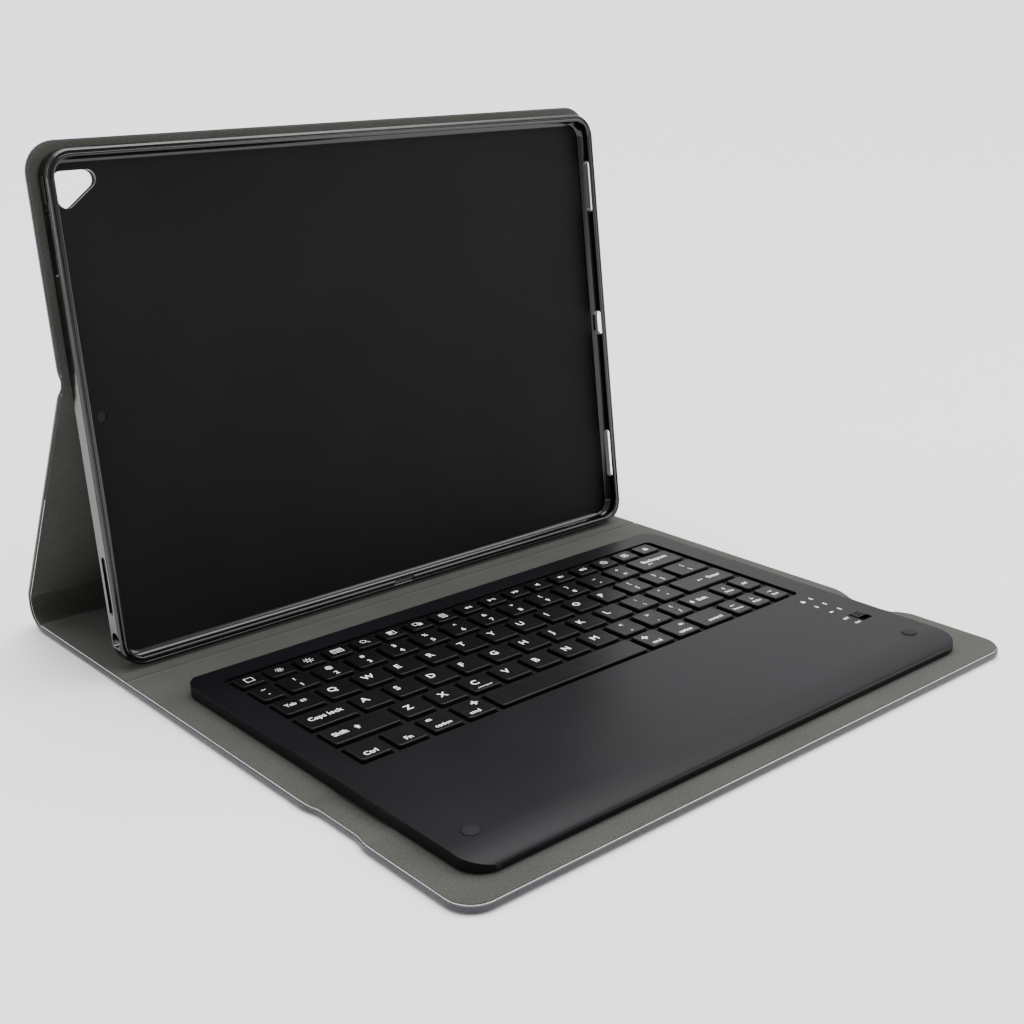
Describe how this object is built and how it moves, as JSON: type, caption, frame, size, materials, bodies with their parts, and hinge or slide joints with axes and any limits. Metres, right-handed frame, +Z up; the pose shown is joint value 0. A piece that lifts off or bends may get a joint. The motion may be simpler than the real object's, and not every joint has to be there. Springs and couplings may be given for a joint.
{
  "type": "tablet keyboard case",
  "caption": "Folding wrap-around tablet case standing open, with a soft tray held upright by a stand panel and a low removable keyboard on the base.",
  "frame": {"origin": "middle of the footprint, on the surface that the case stands on", "axes": "+Z up, +Y from the typist to the stand, +X to the typist's right"},
  "size_m": [0.3194, 0.3366, 0.2323],
  "materials": {
    "leather": "fine grain, satin",
    "lining": "brushed microfibre",
    "board": "pressed paper board",
    "magnet": "nickel plated",
    "tray_rubber": "glossy soft moulding with a matte back",
    "case_plastic": "satin",
    "key_plastic": "satin",
    "steel": "plain",
    "membrane": "plain",
    "dome_rubber": "matte",
    "clip_plastic": "plain",
    "circuit": "solder mask",
    "battery": "foil pouch",
    "lens": "clear"
  },
  "bodies": {
    "base": {"base_outer_cover": "leather", "base_board": "board", "base_lining": "lining", "tray_dock_magnets": "magnet", "keyboard_hold_magnets": "magnet"},
    "gusset": {"gusset_cover": "leather", "gusset_lining": "lining"},
    "closure_flap": {"flap_outer_cover": "leather", "flap_board": "board", "flap_lining": "lining", "closure_magnets": "magnet"},
    "spine_lower": {"spine_lower_cover": "leather", "spine_lower_lining": "lining"},
    "spine_upper": {"spine_upper_cover": "leather", "spine_upper_lining": "lining"},
    "stand": {"stand_outer_cover": "leather", "stand_board": "board", "stand_lining": "lining"},
    "tray": {"upper_outer_cover": "leather", "upper_board": "board", "upper_lining": "lining", "tray_shell": "tray_rubber", "tray_edge_magnets": "magnet"},
    "volume_button": {"volume_pad": "tray_rubber"},
    "power_button": {"power_pad": "tray_rubber"},
    "keyboard": {"keyboard_top_case": "case_plastic", "keyboard_bottom_cover": "case_plastic", "key_support_plate": "steel", "contact_membrane": "membrane", "key_domes": "dome_rubber", "scissor_clips": "clip_plastic", "circuit_board": "circuit", "battery_cell": "battery", "charging_socket": "steel", "switch_body": "membrane", "led_lenses": "lens", "screen_bumpers": "dome_rubber", "keyboard_feet": "dome_rubber", "case_screws": "steel", "keyboard_magnets": "magnet"},
    "switch": {"switch_knob": "case_plastic"},
    "function_keys": {"keys_function_row": "key_plastic"},
    "number_keys": {"keys_number_row": "key_plastic"},
    "backspace_key": {"key_backspace": "key_plastic"},
    "tab_key": {"key_tab": "key_plastic"},
    "upper_letter_keys": {"keys_upper_letter_row": "key_plastic"},
    "caps_lock_key": {"key_caps_lock": "key_plastic"},
    "home_keys": {"keys_home_row": "key_plastic"},
    "enter_key": {"key_enter": "key_plastic"},
    "left_shift_key": {"key_shift_left": "key_plastic"},
    "lower_letter_keys": {"keys_lower_letter_row": "key_plastic"},
    "right_shift_key": {"key_shift_right": "key_plastic"},
    "left_modifier_keys": {"keys_modifiers_left": "key_plastic"},
    "space_key": {"key_space": "key_plastic"},
    "right_modifier_keys": {"keys_modifiers_right": "key_plastic"},
    "navigation_keys": {"keys_navigation": "key_plastic"}
  },
  "joints": [
    {"name": "spine_fold", "type": "hinge", "parent": "base", "child": "spine_lower", "pos_m": [0, 0.15872, 0.00175], "axis": [1, 0, 0], "range_deg": [-29.8, 0]},
    {"name": "spine_middle_fold", "type": "hinge", "parent": "spine_lower", "child": "spine_upper", "pos_m": [0, 0.16708, 0.00654], "axis": [1, 0, 0], "range_deg": [-59.6, 0]},
    {"name": "stand_fold", "type": "hinge", "parent": "spine_upper", "child": "stand", "pos_m": [0, 0.16718, 0.01618], "axis": [1, 0, 0], "range_deg": [-29.8, 0]},
    {"name": "crease_fold", "type": "hinge", "parent": "stand", "child": "tray", "pos_m": [0, 0.10306, 0.13084], "axis": [1, 0, 0], "range_deg": [0, 36]},
    {"name": "gusset_fold", "type": "hinge", "parent": "base", "child": "gusset", "pos_m": [0, -0.07428, 0], "axis": [1, 0, 0], "range_deg": [0, 90]},
    {"name": "flap_fold", "type": "hinge", "parent": "gusset", "child": "closure_flap", "pos_m": [0, -0.10828, 0], "axis": [1, 0, 0], "range_deg": [0, 90]},
    {"name": "keyboard_lift", "type": "slide", "parent": "base", "child": "keyboard", "axis": [0, 0, 1], "range_m": [0, 0.06]},
    {"name": "switch_slide", "type": "slide", "parent": "keyboard", "child": "switch", "axis": [0, -1, 0], "range_m": [0, 0.003]},
    {"name": "volume_press", "type": "slide", "parent": "tray", "child": "volume_button", "axis": [0, -0.1184, -0.993], "range_m": [0, 0.0005], "stiffness_N_per_m": 1500},
    {"name": "power_press", "type": "slide", "parent": "tray", "child": "power_button", "axis": [1, 0, 0], "range_m": [0, 0.0005], "stiffness_N_per_m": 1500},
    {"name": "function_keys_press", "type": "slide", "parent": "keyboard", "child": "function_keys", "axis": [0, 0, -1], "range_m": [0, 0.0014], "stiffness_N_per_m": 400},
    {"name": "number_keys_press", "type": "slide", "parent": "keyboard", "child": "number_keys", "axis": [0, 0, -1], "range_m": [0, 0.0014], "stiffness_N_per_m": 400},
    {"name": "backspace_key_press", "type": "slide", "parent": "keyboard", "child": "backspace_key", "axis": [0, 0, -1], "range_m": [0, 0.0014], "stiffness_N_per_m": 400},
    {"name": "tab_key_press", "type": "slide", "parent": "keyboard", "child": "tab_key", "axis": [0, 0, -1], "range_m": [0, 0.0014], "stiffness_N_per_m": 400},
    {"name": "upper_letter_keys_press", "type": "slide", "parent": "keyboard", "child": "upper_letter_keys", "axis": [0, 0, -1], "range_m": [0, 0.0014], "stiffness_N_per_m": 400},
    {"name": "caps_lock_key_press", "type": "slide", "parent": "keyboard", "child": "caps_lock_key", "axis": [0, 0, -1], "range_m": [0, 0.0014], "stiffness_N_per_m": 400},
    {"name": "home_keys_press", "type": "slide", "parent": "keyboard", "child": "home_keys", "axis": [0, 0, -1], "range_m": [0, 0.0014], "stiffness_N_per_m": 400},
    {"name": "enter_key_press", "type": "slide", "parent": "keyboard", "child": "enter_key", "axis": [0, 0, -1], "range_m": [0, 0.0014], "stiffness_N_per_m": 400},
    {"name": "left_shift_key_press", "type": "slide", "parent": "keyboard", "child": "left_shift_key", "axis": [0, 0, -1], "range_m": [0, 0.0014], "stiffness_N_per_m": 400},
    {"name": "lower_letter_keys_press", "type": "slide", "parent": "keyboard", "child": "lower_letter_keys", "axis": [0, 0, -1], "range_m": [0, 0.0014], "stiffness_N_per_m": 400},
    {"name": "right_shift_key_press", "type": "slide", "parent": "keyboard", "child": "right_shift_key", "axis": [0, 0, -1], "range_m": [0, 0.0014], "stiffness_N_per_m": 400},
    {"name": "left_modifier_keys_press", "type": "slide", "parent": "keyboard", "child": "left_modifier_keys", "axis": [0, 0, -1], "range_m": [0, 0.0014], "stiffness_N_per_m": 400},
    {"name": "space_key_press", "type": "slide", "parent": "keyboard", "child": "space_key", "axis": [0, 0, -1], "range_m": [0, 0.0014], "stiffness_N_per_m": 400},
    {"name": "right_modifier_keys_press", "type": "slide", "parent": "keyboard", "child": "right_modifier_keys", "axis": [0, 0, -1], "range_m": [0, 0.0014], "stiffness_N_per_m": 400},
    {"name": "navigation_keys_press", "type": "slide", "parent": "keyboard", "child": "navigation_keys", "axis": [0, 0, -1], "range_m": [0, 0.0014], "stiffness_N_per_m": 400}
  ],
  "couplings": [
    {"joint": "spine_middle_fold", "follows": "spine_fold", "ratio": 2},
    {"joint": "stand_fold", "follows": "spine_fold", "ratio": 1},
    {"joint": "crease_fold", "follows": "spine_fold", "ratio": -1.208},
    {"joint": "flap_fold", "follows": "gusset_fold", "ratio": 1}
  ]
}
